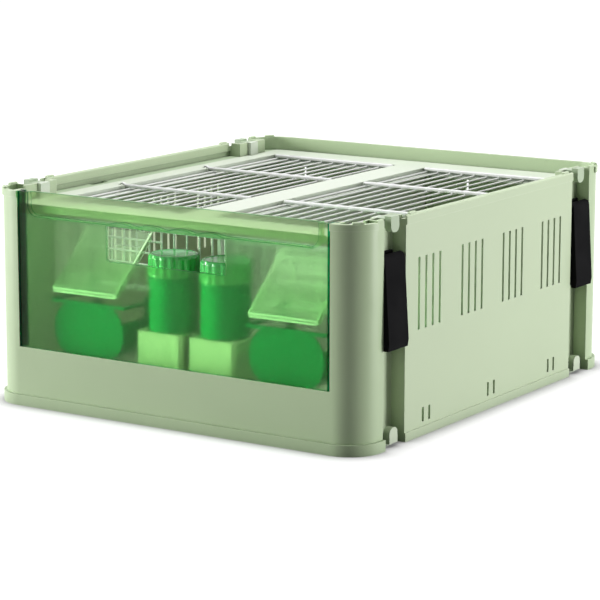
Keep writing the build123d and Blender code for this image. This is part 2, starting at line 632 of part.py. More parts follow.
def drinker_bottle(side):
    """Full round bottle standing in the trough, with a narrower neck for the cap."""
    shoulder = CAP_TOP - CAP_H - FIT
    body = rod_z(0, 0, BOTTLE_R, BOTTLE_FOOT, shoulder)
    body += rod_z(0, 0, NECK_R, shoulder - 1, CAP_TOP - CAP_SKIN)
    return Pos(side * DRINKER_X, DRINKER_Y, 0) * body


def drinker_cap(side):
    """Screw cap with a faceted grip and a bevelled top."""
    foot = CAP_TOP - CAP_H
    body = rod_z(0, 0, CAP_R, foot, CAP_TOP)
    body = chamfer(body.edges().group_by(Axis.Z)[-1], 1)
    body -= rod_z(0, 0, NECK_R + RUN, foot - 1, CAP_TOP - CAP_SKIN, hole=True)
    return Pos(side * DRINKER_X, DRINKER_Y, 0) * body


def place_latch(solid, side, end):
    """Put a latch piece, made at the front right groove with u = 0 on the side face, on any groove."""
    placed = Pos(HALF_W, 0, 0) * solid
    if end > 0:
        placed = mirror(placed, Plane.XZ)
    if side < 0:
        placed = mirror(placed, Plane.YZ)
    return placed


LATCH_Y0 = -SHELL_END + FIT
LATCH_Y1 = LATCH_Y0 + LATCH_W
BOSS_R = PIVOT_DOWN - CHEEK_DOWN


def latch_base():
    """Black channel in the groove: a back plate and two cheeks that hold the hinge pin."""
    back = -GROOVE_DEPTH + RUN
    foot = LATCH_TOP - LATCH_H
    body = slab(back, back + BASE_T, LATCH_Y0, LATCH_Y1, foot, LATCH_TOP)
    for y0, y1 in ((LATCH_Y0, LATCH_Y0 + CHEEK_T), (LATCH_Y1 - CHEEK_T, LATCH_Y1)):
        body += slab(back, -CHEEK_DOWN, y0, y1, foot, PIVOT_Z)
        body += rod_y(-PIVOT_DOWN, PIVOT_Z, BOSS_R, y0, y1)
    body += slab(back, -CHEEK_DOWN - 1, LATCH_Y0, LATCH_Y1, foot, foot + BASE_T)
    return body - rod_y(-PIVOT_DOWN, PIVOT_Z, LATCH_PIN_R, LATCH_Y0 - 1, LATCH_Y1 + 1)


def latch_pin():
    """Steel pin through the base's cheeks and the lever's barrel."""
    return rod_y(-PIVOT_DOWN, PIVOT_Z, LATCH_PIN_R, LATCH_Y0, LATCH_Y1)


def latch_lever():
    """Hollow wedge hinged at its top on a barrel between the cheeks, standing out at its foot."""
    clear = -CHEEK_DOWN + FIT
    top_u = LEVER_R - PIVOT_DOWN

    def wedge(inset, y0, y1, low):
        with BuildSketch(Plane.XZ) as face:
            with BuildLine():
                Polyline((clear, low), (LEVER_OUT - LEVER_TIP / 3 - inset, low),
                         (LEVER_OUT - inset, LEVER_FOOT + LEVER_TIP), (top_u - inset, PIVOT_Z),
                         (clear, PIVOT_Z), close=True)
            make_face()
        return Pos(0, y1, 0) * extrude(face.sketch, y1 - y0, dir=(0, -1, 0))

    body = wedge(0, LATCH_Y0, LATCH_Y1, LEVER_FOOT)
    crown = rod_y(-PIVOT_DOWN, PIVOT_Z, LEVER_R, LATCH_Y0, LATCH_Y1, ROUND_SIDES)
    crown &= slab(-PIVOT_DOWN, top_u, LATCH_Y0, LATCH_Y1, PIVOT_Z, PIVOT_Z + LEVER_R)
    body += crown
    body -= rod_y(-PIVOT_DOWN, PIVOT_Z, BOSS_R + FIT, LATCH_Y0 - 1, LATCH_Y1 + 1, hole=True)
    hollow = wedge(LEVER_T, LATCH_Y0 + LEVER_SIDE, LATCH_Y1 - LEVER_SIDE, LEVER_FOOT + LEVER_T)
    body -= hollow & slab(clear - 1, LEVER_OUT, LATCH_Y0, LATCH_Y1, 0, PIVOT_Z - 2 * BOSS_R)
    y0 = LATCH_Y0 + CHEEK_T + RUN
    y1 = LATCH_Y1 - CHEEK_T - RUN
    body += rod_y(-PIVOT_DOWN, PIVOT_Z, BOSS_R, y0, y1)
    body += slab(-PIVOT_DOWN, clear + 1, y0, y1, PIVOT_Z - BOSS_R, PIVOT_Z + BOSS_R - 1)
    return body - rod_y(-PIVOT_DOWN, PIVOT_Z, LATCH_PIN_R + RUN, y0 - 1, y1 + 1, hole=True)


SIDES = {"left": -1, "right": 1}
ENDS = {"front": -1, "rear": 1}


def all_parts():
    """Every piece by name."""
    parts = {
        "front_shell": front_shell(),
        "rear_shell": rear_shell(),
        "floor_tray": floor_tray(),
        "roof_frame": roof_frame(),
        "front_window": front_window(),
        "wire_front": wire_front(),
        "centre_divider": centre_divider(),
    }
    for name, side in SIDES.items():
        parts[f"side_panel_{name}"] = side_panel(side)
        parts[f"wire_lid_{name}"] = wire_lid(side)
        parts[f"perch_{name}"] = perch(side)
        parts[f"feeder_cup_{name}"] = feeder_cup(side)
        parts[f"feeder_hood_{name}"] = feeder_hood(side)
        parts[f"drinker_trough_{name}"] = drinker_trough(side)
        parts[f"drinker_bottle_{name}"] = drinker_bottle(side)
        parts[f"drinker_cap_{name}"] = drinker_cap(side)
        for place, end in ENDS.items():
            parts[f"latch_base_{place}_{name}"] = place_latch(latch_base(), side, end)
            parts[f"latch_pin_{place}_{name}"] = place_latch(latch_pin(), side, end)
            parts[f"latch_lever_{place}_{name}"] = place_latch(latch_lever(), side, end)
    return parts


os.makedirs("parts", exist_ok=True)
for node, solid in all_parts().items():
    export_step(solid, f"parts/{node}.step")
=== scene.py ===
"""Two-compartment bird carrier, dressed for the studio.

Metres, +X right, +Y back, +Z up, origin on the floor under the middle of the carrier.
The walls, roof, tray, divider, window, cups, hoods, troughs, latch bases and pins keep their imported
meshes and get their finish here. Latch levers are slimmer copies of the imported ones. Wires, hood
beads, bottles, water, caps and perches are made here as smooth surfaces.
"""
import math
import bpy
import numpy as np
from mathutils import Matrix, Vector


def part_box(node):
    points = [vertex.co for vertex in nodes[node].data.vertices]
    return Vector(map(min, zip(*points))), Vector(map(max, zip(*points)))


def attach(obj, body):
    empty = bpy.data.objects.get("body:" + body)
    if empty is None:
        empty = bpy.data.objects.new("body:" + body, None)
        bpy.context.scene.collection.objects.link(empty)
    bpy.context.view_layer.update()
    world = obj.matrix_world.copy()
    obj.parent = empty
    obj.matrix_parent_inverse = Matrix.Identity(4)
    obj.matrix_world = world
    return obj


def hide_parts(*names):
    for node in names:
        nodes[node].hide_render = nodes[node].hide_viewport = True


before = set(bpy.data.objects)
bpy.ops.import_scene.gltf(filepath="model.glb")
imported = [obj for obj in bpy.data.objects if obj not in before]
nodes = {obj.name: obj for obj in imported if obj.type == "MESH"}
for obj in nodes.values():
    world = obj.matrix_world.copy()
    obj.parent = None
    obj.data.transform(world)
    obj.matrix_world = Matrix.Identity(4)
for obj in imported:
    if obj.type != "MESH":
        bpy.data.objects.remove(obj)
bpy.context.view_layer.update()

# Studio
# The carrier stands on a pale floor and is seen from its right front corner, a little above it.
# Soft lamps stand to the left front, to the right rear and overhead, and the room fills the rest.
CAMERA_AIM = Vector((0.0, -0.049, 0.100))
CAMERA_AZIMUTH = math.radians(33.41)
CAMERA_RISE = math.radians(10.71)
CAMERA_DISTANCE = 2.3854
CAMERA_LENS = 152.07
CAMERA_SHIFT = (0.0331, -0.0219)
SENSOR_WIDTH = 36.0
CAMERA_REACH = 50.0
LAMP_AIM = Vector((0.0, 0.0, 0.1))
LAMPS = {"left_front_lamp": ((-2.40, -1.45, 0.50), (1.0, 0.8), 84.0),
         "right_lamp": ((2.30, 1.25, 0.30), (0.8, 0.5), 53.0),
         "top_lamp": ((-0.2, 0.3, 2.6), (1.5, 1.5), 66.0)}
WHITE = (1.0, 1.0, 1.0, 1.0)
ROOM_GLOW = 0.10
FLOOR_HALF = 6.0
FLOOR_COLOUR = (0.28, 0.28, 0.28, 1.0)
FLOOR_LIFT_NEAR = 0.84
FLOOR_LIFT_FAR = 1.0
LIFT_FROM = 0.45
LIFT_TO = 1.5
SHADOW_REACH = 0.022
SHADOW_SKY = (0.45, 1.0)
SHADOW_SHARE = 0.15


def add(tree, kind, inputs=None, **settings):
    """Adds a node. Settings are its own fields; inputs are values or sockets of other nodes."""
    node = tree.nodes.new(kind)
    for field, value in settings.items():
        setattr(node, field, value)
    for name, value in (inputs or {}).items():
        socket = node.inputs[name]
        if isinstance(value, bpy.types.NodeSocket):
            tree.links.new(value, socket)
        else:
            socket.default_value = value
    return node


def math_node(tree, operation, a, b=0.0):
    """The value of a sum, product or other operation of a and b."""
    return add(tree, "ShaderNodeMath", {0: a, 1: b}, operation=operation).outputs[0]


def mapped(tree, value, low, high, to_low, to_high):
    """Value carried from one range to another and held at its ends."""
    node = add(tree, "ShaderNodeMapRange", {0: value, 1: low, 2: high, 3: to_low, 4: to_high})
    return node.outputs[0]


def object_place(tree):
    """The point's place on the object, in metres."""
    return add(tree, "ShaderNodeTexCoord").outputs["Object"]


def new_material(name):
    """A material with its node tree and its shader."""
    material = bpy.data.materials.new(name)
    material.use_nodes = True
    return material, material.node_tree, material.node_tree.nodes["Principled BSDF"]


def new_object(name, data):
    """Puts data in the scene as an object at the origin."""
    made = bpy.data.objects.new(name, data)
    bpy.context.scene.collection.objects.link(made)
    return made


def seen_ray(tree):
    """One where the ray comes from the camera, a reflection or clear plastic, else nought."""
    path = add(tree, "ShaderNodeLightPath")
    seen = math_node(tree, "MAXIMUM", path.outputs["Is Camera Ray"], path.outputs["Is Glossy Ray"])
    return math_node(tree, "MAXIMUM", seen, path.outputs["Is Transmission Ray"])


def place_camera():
    """Puts the camera on a sphere round the aim point, looking at it."""
    data = bpy.data.cameras.new("studio_camera")
    data.lens = CAMERA_LENS
    data.sensor_width = SENSOR_WIDTH
    data.shift_x, data.shift_y = CAMERA_SHIFT
    data.clip_end = CAMERA_REACH
    camera = new_object("studio_camera", data)
    back = Vector((math.sin(CAMERA_AZIMUTH) * math.cos(CAMERA_RISE),
                   -math.cos(CAMERA_AZIMUTH) * math.cos(CAMERA_RISE),
                   math.sin(CAMERA_RISE)))
    camera.location = CAMERA_AIM + back * CAMERA_DISTANCE
    camera.rotation_euler = (-back).to_track_quat("-Z", "Y").to_euler()
    bpy.context.scene.camera = camera


def soft_lamp(name, place, size, watts):
    """A soft lamp of a width and height at a place, turned to the aim point."""
    data = bpy.data.lights.new(name, "AREA")
    data.shape = "RECTANGLE"
    data.size, data.size_y = size
    data.energy = watts
    lamp = new_object(name, data)
    lamp.location = place
    lamp.rotation_euler = (LAMP_AIM - Vector(place)).to_track_quat("-Z", "Y").to_euler()


def light_room():
    """The room is white where it is seen and dimmer where it only lights."""
    world = bpy.data.worlds.new("studio_room")
    world.use_nodes = True
    tree = world.node_tree
    glow = math_node(tree, "MULTIPLY_ADD", seen_ray(tree), 1.0 - ROOM_GLOW)
    glow.node.inputs[2].default_value = ROOM_GLOW
    tree.links.new(glow, tree.nodes["Background"].inputs["Strength"])
    tree.nodes["Background"].inputs["Color"].default_value = WHITE
    bpy.context.scene.world = world


def lay_floor():
    """A wide pale floor that takes the shadow and is lifted to white where it is seen."""
    mesh = bpy.data.meshes.new("studio_floor")
    corners = FLOOR_HALF * np.array([(-1, -1, 0), (1, -1, 0), (1, 1, 0), (-1, 1, 0)])
    mesh.from_pydata(corners.tolist(), [], [(0, 1, 2, 3)])
    floor = new_object("studio_floor", mesh)
    material, tree, shader = new_material("studio_floor")
    shader.inputs["Base Color"].default_value = FLOOR_COLOUR
    shader.inputs["Roughness"].default_value = 0.9
    shader.inputs["Specular IOR Level"].default_value = 0.1
    shader.inputs["Emission Color"].default_value = WHITE
    away = add(tree, "ShaderNodeVectorMath", {0: object_place(tree)}, operation="LENGTH").outputs["Value"]
    lift = mapped(tree, away, LIFT_FROM, LIFT_TO, FLOOR_LIFT_NEAR, FLOOR_LIFT_FAR)
    # Painted contact shadow: near the carrier the lift is cut where the floor sees little sky.
    sky = add(tree, "ShaderNodeAmbientOcclusion", {"Distance": SHADOW_REACH}, samples=8).outputs["AO"]
    lift = math_node(tree, "MULTIPLY", lift, mapped(tree, sky, *SHADOW_SKY, SHADOW_SHARE, 1.0))
    lift = math_node(tree, "MULTIPLY", seen_ray(tree), lift)
    tree.links.new(lift, shader.inputs["Emission Strength"])
    mesh.materials.append(material)


bpy.context.scene.view_settings.view_transform = "Standard"
place_camera()
for lamp_name, (lamp_place, lamp_size, lamp_watts) in LAMPS.items():
    soft_lamp(lamp_name, lamp_place, lamp_size, lamp_watts)
light_room()
lay_floor()

# Front and rear shells
# Each is one injection moulding in pale green plastic, with a finely grained face, a foot band
# and a rim bead. The two ends slot on the side panels and stand on the floor.
SHELL_GREEN = (0.45, 0.57, 0.35, 1.0)
EDGE_ROUND = 0.0006
EDGE_STEPS = 2
SHARP_ANGLE = math.radians(32.0)
JOIN_REACH = 2e-6
CLOUD_SCALE = 9.0
PATCH_SCALE = 75.0
STREAK_SCALE = 30.0
RUB_RADIUS = 0.0011
RUB_PALE = (0.86, 0.90, 0.80, 1.0)
CORNER_SHADE_REACH = 0.025
CORNER_SHADE_SKY = (0.12, 0.52)
CORNER_PAINTED_SHADE = (0.02, 0.06, 0.02, 1.0)
GRAIN_RISE = 0.0001


def new_group(name, inputs, outputs):
    """A shader node group with named inputs (name: default) and outputs (name: kind)."""
    group = bpy.data.node_groups.new(name, "ShaderNodeTree")
    for label, value in inputs.items():
        kind = "NodeSocketColor" if isinstance(value, tuple) else "NodeSocketFloat"
        socket = group.interface.new_socket(label, in_out="INPUT", socket_type=kind)
        socket.default_value = value
    for label, kind in outputs.items():
        group.interface.new_socket(label, in_out="OUTPUT", socket_type=kind)
    return group, group.nodes.new("NodeGroupInput"), group.nodes.new("NodeGroupOutput")


def mix_colour(tree, share, a, b):
    """Colour b over colour a by a share from 0 to 1."""
    return add(tree, "ShaderNodeMix", {0: share, 6: a, 7: b}, data_type="RGBA").outputs[2]


def noise(tree, place, scale, detail):
    """The value of a noise at a place, about a half on average."""
    return add(tree, "ShaderNodeTexNoise", {"Vector": place, "Scale": scale, "Detail": detail}).outputs[0]


def edge_mask(tree, radius, start, full):
    """Rises to one at edges, as the normal and the normal rounded over a radius part.

    Start and full are the dot products of the two at which the mask leaves nought and is one.
    """
    rounded = add(tree, "ShaderNodeBevel", {"Radius": radius}, samples=4)
    flat = add(tree, "ShaderNodeNewGeometry")
    meet = add(tree, "ShaderNodeVectorMath", {0: rounded.outputs[0], 1: flat.outputs["Normal"]},
               operation="DOT_PRODUCT")
    return mapped(tree, meet.outputs["Value"], start, full, 0.0, 1.0)


def make_moulded_skin():
    """Moulded plastic: cloudy tone, fine grain, paler rubbed edges and darker corners.

    Tone is the colour times one plus a slow noise; rubbing is the edge mask times a patchy noise;
    the corners' painted shade comes from how little of the sky a point sees; the grain is a fine noise.
    """
    tree, given, out = new_group(
        "moulded_skin",
        {"Color": (0.5, 0.5, 0.5, 1.0), "Cloud": 0.05, "Rubbed": 0.35, "Corner Shade": 0.75,
         "Rough": 0.4, "Grain Size": 2200.0},
        {"Color": "NodeSocketColor", "Roughness": "NodeSocketFloat", "Height": "NodeSocketFloat"})
    place = object_place(tree)
    shift = math_node(tree, "SUBTRACT", noise(tree, place, CLOUD_SCALE, 3.0), 0.5)
    shift = math_node(tree, "MULTIPLY", shift, given.outputs["Cloud"])
    shift = math_node(tree, "ADD", shift, 1.0)
    tone = add(tree, "ShaderNodeVectorMath", {0: given.outputs["Color"], "Scale": shift}, operation="SCALE")
    edge = edge_mask(tree, RUB_RADIUS, 0.995, 0.93)
    patch = mapped(tree, noise(tree, place, PATCH_SCALE, 4.0), 0.35, 0.65, 0.4, 1.0)
    edge = math_node(tree, "MULTIPLY", edge, patch)
    edge = math_node(tree, "MULTIPLY", edge, given.outputs["Rubbed"])
    colour = mix_colour(tree, edge, tone.outputs[0], RUB_PALE)
    # Painted shade: corners and hollows that see little sky are darkened towards a near-black green.
    sky = add(tree, "ShaderNodeAmbientOcclusion", {"Distance": CORNER_SHADE_REACH}, samples=4)
    corner_shade = mapped(tree, sky.outputs["AO"], *CORNER_SHADE_SKY, 1.0, 0.0)
    corner_shade = math_node(tree, "MULTIPLY", corner_shade, given.outputs["Corner Shade"])
    colour = mix_colour(tree, corner_shade, colour, CORNER_PAINTED_SHADE)
    grain = noise(tree, place, given.outputs["Grain Size"], 2.0)
    rough = mapped(tree, noise(tree, place, STREAK_SCALE, 5.0), 0.3, 0.7, -0.06, 0.08)
    rough = math_node(tree, "ADD", rough, given.outputs["Rough"])
    tree.links.new(colour, out.inputs["Color"])
    tree.links.new(rough, out.inputs["Roughness"])
    tree.links.new(grain, out.inputs["Height"])
    return tree


def make_soften_tree():
    """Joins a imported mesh's loose triangles and shades it smooth except at its sharp edges."""
    tree = bpy.data.node_groups.new("soften", "GeometryNodeTree")
    tree.interface.new_socket("Geometry", in_out="INPUT", socket_type="NodeSocketGeometry")
    tree.interface.new_socket("Geometry", in_out="OUTPUT", socket_type="NodeSocketGeometry")
    given = tree.nodes.new("NodeGroupInput")
    out = tree.nodes.new("NodeGroupOutput")
    joined = add(tree, "GeometryNodeMergeByDistance",
                 {"Geometry": given.outputs[0], "Distance": JOIN_REACH})
    smooth = add(tree, "GeometryNodeSetShadeSmooth", {"Geometry": joined.outputs[0]}, domain="FACE")
    angle = add(tree, "GeometryNodeInputMeshEdgeAngle")
    sharp = add(tree, "FunctionNodeCompare", {0: angle.outputs[0], 1: SHARP_ANGLE},
                operation="GREATER_THAN")
    split = add(tree, "GeometryNodeSetShadeSmooth",
                {"Geometry": smooth.outputs[0], "Selection": sharp.outputs[0], "Shade Smooth": False},
                domain="EDGE")
    tree.links.new(split.outputs[0], out.inputs[0])
    return tree


moulded_skin = make_moulded_skin()
soften_tree = make_soften_tree()


def moulding(name, colour, rough, cloud=0.05, rubbed=0.35, corner=0.75, bump=0.06, sheen=0.0,
             gloss=0.45):
    """A material in moulded plastic with its own colour, gloss and wear."""
    material, tree, shader = new_material(name)
    skin = add(tree, "ShaderNodeGroup", node_tree=moulded_skin)
    skin.inputs["Color"].default_value = colour
    skin.inputs["Cloud"].default_value = cloud
    skin.inputs["Rubbed"].default_value = rubbed
    # The corner share sets how much painted shade darkens the corners and hollows.
    skin.inputs["Corner Shade"].default_value = corner
    skin.inputs["Rough"].default_value = rough
    relief = add(tree, "ShaderNodeBump",
                 {"Height": skin.outputs["Height"], "Distance": GRAIN_RISE, "Strength": bump})
    tree.links.new(skin.outputs["Color"], shader.inputs["Base Color"])
    tree.links.new(skin.outputs["Roughness"], shader.inputs["Roughness"])
    tree.links.new(relief.outputs[0], shader.inputs["Normal"])
    shader.inputs["Specular IOR Level"].default_value = gloss
    shader.inputs["Coat Weight"].default_value = sheen
    return material


def dress_piece(piece, material, edge=EDGE_ROUND):
    """Gives a mesh its material, smooth shading and slightly rounded edges."""
    if not piece.material_slots:
        piece.data.materials.append(material)
    for slot in piece.material_slots:
        slot.material = material
    soften = piece.modifiers.new("soften", "NODES")
    soften.node_group = soften_tree
    if edge:
        rounding = piece.modifiers.new("rounded_edges", "BEVEL")
        rounding.width = edge
        rounding.segments = EDGE_STEPS
        rounding.limit_method = "ANGLE"
        rounding.angle_limit = SHARP_ANGLE
        rounding.harden_normals = False


def dress(names, material, edge=EDGE_ROUND):
    """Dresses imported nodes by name."""
    for name in names:
        dress_piece(nodes[name], material, edge)


shell_plastic = moulding("shell_plastic", SHELL_GREEN, 0.36)
dress(["front_shell", "rear_shell"], shell_plastic)

# Side panels
# The slotted walls are the same moulding in a slightly paler batch, with thicker bands top and bottom
# and flanges that run behind the shells' ends.
PANEL_GREEN = (0.50, 0.60, 0.40, 1.0)
panel_plastic = moulding("panel_plastic", PANEL_GREEN, 0.40)
dress(["side_panel_left", "side_panel_right"], panel_plastic)

# Floor tray and divider
# A flat moulded floor with a low rim, and the upright partition between the two compartments. Both
# are pale, so that the light from the lids fills the compartments.
TRAY_GREEN = (0.56, 0.64, 0.48, 1.0)
DIVIDER_GREY = (0.72, 0.74, 0.70, 1.0)
tray_plastic = moulding("tray_plastic", TRAY_GREEN, 0.45)
divider_plastic = moulding("divider_plastic", DIVIDER_GREY, 0.42, cloud=0.03, rubbed=0.1, corner=0.3)
dress(["floor_tray"], tray_plastic)
dress(["centre_divider"], divider_plastic)

# Roof frame
# One near-white moulding round both lids, with a broad rail between them. Its four pegs stand in the
# grooves and come out greener.
FRAME_WHITE = (0.69, 0.75, 0.64, 1.0)
PEG_FROM = 0.182
PEG_BLEND = 0.003
PEG_GREEN = (0.40, 0.50, 0.34, 1.0)
frame_plastic = moulding("frame_plastic", FRAME_WHITE, 0.38, cloud=0.03, rubbed=0.15)


def tint_pegs(material):
    """Changes the colour of what lies outside a distance from the middle."""
    tree = material.node_tree
    shader = tree.nodes["Principled BSDF"]
    plain = shader.inputs["Base Color"].links[0].from_socket
    across = add(tree, "ShaderNodeSeparateXYZ", {0: object_place(tree)}).outputs[0]
    away = mapped(tree, math_node(tree, "ABSOLUTE", across), PEG_FROM, PEG_FROM + PEG_BLEND, 0.0, 1.0)
    tree.links.new(mix_colour(tree, away, plain, PEG_GREEN), shader.inputs["Base Color"])


tint_pegs(frame_plastic)
dress(["roof_frame"], frame_plastic)

# Latches
# Black nylon bases sit in the four grooves; each holds a hollow wedge lever on a ground steel pin.
# The levers lie close to the side face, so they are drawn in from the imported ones.
BLACK = (0.004, 0.004, 0.0045, 1.0)
SIDE_FACE = 0.200
SLIM = 0.5
LEVER_EDGE = 0.0004
STEEL_DARK = (0.50, 0.50, 0.51, 1.0)
STEEL_PALE = (0.68, 0.68, 0.69, 1.0)
TURNING_MARKS = (60.0, 9000.0, 60.0)
LATCHES = [f"{end}_{side}" for end in ("front", "rear") for side in ("left", "right")]
latch_nylon = moulding("latch_nylon", BLACK, 0.82, cloud=0.2, rubbed=0.002, corner=0.0, gloss=0.05)


def slim_lever(latch):
    """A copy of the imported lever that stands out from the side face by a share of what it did."""
    mesh = nodes[f"latch_lever_{latch}"].data.copy()
    points = np.empty(len(mesh.vertices) * 3)
    mesh.vertices.foreach_get("co", points)
    points = points.reshape(-1, 3)
    proud = np.maximum(np.abs(points[:, 0]) - SIDE_FACE, 0.0)
    points[:, 0] -= np.sign(points[:, 0]) * proud * (1.0 - SLIM)
    mesh.vertices.foreach_set("co", points.ravel())
    lever = new_object(f"lever_{latch}", mesh)
    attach(lever, f"lever_{latch}")
    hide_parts(f"latch_lever_{latch}")
    dress_piece(lever, latch_nylon, LEVER_EDGE)


def ground_steel():
    """Steel with fine turning marks round its axis, which lies along Y."""
    material, tree, shader = new_material("ground_steel")
    shader.inputs["Metallic"].default_value = 1.0
    stretched = add(tree, "ShaderNodeMapping", {"Vector": object_place(tree), "Scale": TURNING_MARKS})
    mark = noise(tree, stretched.outputs[0], 1.0, 2.0)
    tone = mix_colour(tree, mark, STEEL_DARK, STEEL_PALE)
    tree.links.new(tone, shader.inputs["Base Color"])
    tree.links.new(mapped(tree, mark, 0.2, 0.8, 0.2, 0.4), shader.inputs["Roughness"])
    return material


dress([f"latch_base_{latch}" for latch in LATCHES], latch_nylon)
for latch in LATCHES:
    slim_lever(latch)
dress([f"latch_pin_{latch}" for latch in LATCHES], ground_steel(), edge=0)

# Front window, seed cups and hoods
# Clear plastic mouldings, tinted green through their whole thickness. The window is slightly frosted,
# pale on its grip band and deep green along its edges and side returns; on the side returns the deep
# green is partly painted shade, standing for the shaded grooves behind them. It slides up in guides.
WINDOW_TINT = (0.06, 0.90, 0.14, 1.0)
CUP_TINT = (0.0, 0.72, 0.18, 1.0)
HOOD_TINT = (0.45, 0.92, 0.40, 1.0)
CUP_GREEN = (0.0, 0.21, 0.062, 1.0)
HOOD_FACE = (0.80, 0.93, 0.74, 1.0)
# Painted highlight along the hoods' edges.
HOOD_EDGE_HIGHLIGHT = (0.97, 1.0, 0.94, 1.0)
PANE_FACE = (0.72, 0.88, 0.66, 1.0)
BAND_FACE = (0.64, 0.72, 0.50, 1.0)
DEEP_GREEN_AND_SHADE = (0.0, 0.16, 0.05, 1.0)
BAND_FOOT = 0.1795
RETURN_FROM = 0.1655
ZONE_BLEND = 0.001
RIM_RADIUS = 0.0012
WAVE_RISE = 0.0004
HAIR_TILT = (0.3, 0.5, 0.2)
HAIR_STRETCH = (40.0, 900.0, 400.0)


def make_clear_skin():
    """Clear moulded plastic: faint flow waves and hairline rubbing, as a height and a roughness."""
    tree, given, out = new_group("clear_skin", {"Rough": 0.05, "Wave Size": 26.0},
                                 {"Roughness": "NodeSocketFloat", "Height": "NodeSocketFloat"})
    place = object_place(tree)
    wave = noise(tree, place, given.outputs["Wave Size"], 1.0)
    hair = add(tree, "ShaderNodeMapping",
               {"Vector": place, "Rotation": HAIR_TILT, "Scale": HAIR_STRETCH})
    rough = mapped(tree, noise(tree, hair.outputs[0], 1.0, 3.0), 0.45, 0.75, 0.0, 0.08)
    rough = math_node(tree, "ADD", rough, given.outputs["Rough"])
    tree.links.new(rough, out.inputs["Roughness"])
    tree.links.new(wave, out.inputs["Height"])
    return tree


clear_skin = make_clear_skin()


def clear_plastic(name, face, tint, density, rough, shade, wave=0.12, clear=1.0, gloss=0.5, bend=1.49,
                  rim=None, zones=()):
    """Clear plastic with a coloured body; its shadow is let through in a pale shade.

    The rim colour shows along edges. A zone is an axis, a distance from the origin along it, and
    the face colour beyond that distance.
    """
    material, tree, shader = new_material(name)
    shader.inputs["Base Color"].default_value = face
    shader.inputs["Transmission Weight"].default_value = clear
    shader.inputs["IOR"].default_value = bend
    shader.inputs["Specular IOR Level"].default_value = gloss
    colour = face
    for axis, start, zone_colour in zones:
        along = add(tree, "ShaderNodeSeparateXYZ", {0: object_place(tree)}).outputs[axis]
        far = math_node(tree, "ABSOLUTE", along)
        beyond = mapped(tree, far, start, start + ZONE_BLEND, 0.0, 1.0)
        colour = mix_colour(tree, beyond, colour, zone_colour)
    if rim:
        colour = mix_colour(tree, edge_mask(tree, RIM_RADIUS, 0.99, 0.90), colour, rim)
    if zones or rim:
        tree.links.new(colour, shader.inputs["Base Color"])
    skin = add(tree, "ShaderNodeGroup", node_tree=clear_skin)
    skin.inputs["Rough"].default_value = rough
    relief = add(tree, "ShaderNodeBump",
                 {"Height": skin.outputs["Height"], "Distance": WAVE_RISE, "Strength": wave})
    tree.links.new(skin.outputs["Roughness"], shader.inputs["Roughness"])
    tree.links.new(relief.outputs[0], shader.inputs["Normal"])
    body = add(tree, "ShaderNodeVolumeAbsorption", {"Color": tint, "Density": density})
    through = add(tree, "ShaderNodeBsdfTransparent", {"Color": shade})
    path = add(tree, "ShaderNodeLightPath")
    mix = add(tree, "ShaderNodeMixShader",
              {0: path.outputs["Is Shadow Ray"], 1: shader.outputs[0], 2: through.outputs[0]})
    output = tree.nodes["Material Output"]
    tree.links.new(mix.outputs[0], output.inputs["Surface"])
    tree.links.new(body.outputs[0], output.inputs["Volume"])
    return material


# The deep green beyond RETURN_FROM on the side returns is partly painted shade of the grooves behind them.
window_clear = clear_plastic("window_clear", PANE_FACE, WINDOW_TINT, 55.0, 0.30, (0.82, 0.97, 0.80, 1.0),
                             clear=0.985, gloss=0.2, bend=1.12, rim=DEEP_GREEN_AND_SHADE,
                             zones=(("Z", BAND_FOOT, BAND_FACE), ("X", RETURN_FROM, DEEP_GREEN_AND_SHADE)))
cup_clear = clear_plastic("cup_clear", CUP_GREEN, CUP_TINT, 60.0, 0.22, (0.25, 0.85, 0.38, 1.0),
                          clear=0.1, gloss=0.04)
# The hoods' near-white edge colour is a painted highlight along their edges.
hood_clear = clear_plastic("hood_clear", HOOD_FACE, HOOD_TINT, 40.0, 0.03, (0.90, 0.97, 0.88, 1.0),
                           clear=0.86, bend=1.3, rim=HOOD_EDGE_HIGHLIGHT)
dress(["front_window"], window_clear, edge=0.0004)
dress(["feeder_cup_left", "feeder_cup_right"], cup_clear, edge=0.0005)
dress(["feeder_hood_left", "feeder_hood_right"], hood_clear, edge=0.0003)

# Drinkers
# Each is a pale trough with a green bottle standing in it and a ribbed screw cap on the bottle.
# Bottle and cap are turned shapes; the water inside stops a little below the neck.
TURN_STEPS = 72
BOTTLE_GREEN = (0.0, 0.28, 0.075, 1.0)
TROUGH_GREEN = (0.48, 0.54, 0.36, 1.0)
CAP_GREEN = (0.045, 0.36, 0.085, 1.0)
WATER_FACE = (0.97, 1.0, 0.98, 1.0)
WATER_TINT = (0.6, 0.95, 0.7, 1.0)
POLE = 0.0004
BOTTLE_WALL = 0.0016
BOTTLE_DISH = 0.0012
BOTTLE_FLOOR = 0.0028
NECK_IN = 0.0021
NECK_TALL = 0.0187
WATER_FOOT = 0.0030
WATER_TOP = 0.043
WATER_GAP = 0.0001
CAP_RIBS = 18
RIB_DEEP = 0.0011
RIB_INSET = 0.0002
CAP_WALL = 0.0031
CAP_ROOF = 0.0018
CAP_DISH = 0.0006
trough_plastic = moulding("trough_plastic", TROUGH_GREEN, 0.32, rubbed=0.2)
dress(["drinker_trough_left", "drinker_trough_right"], trough_plastic)


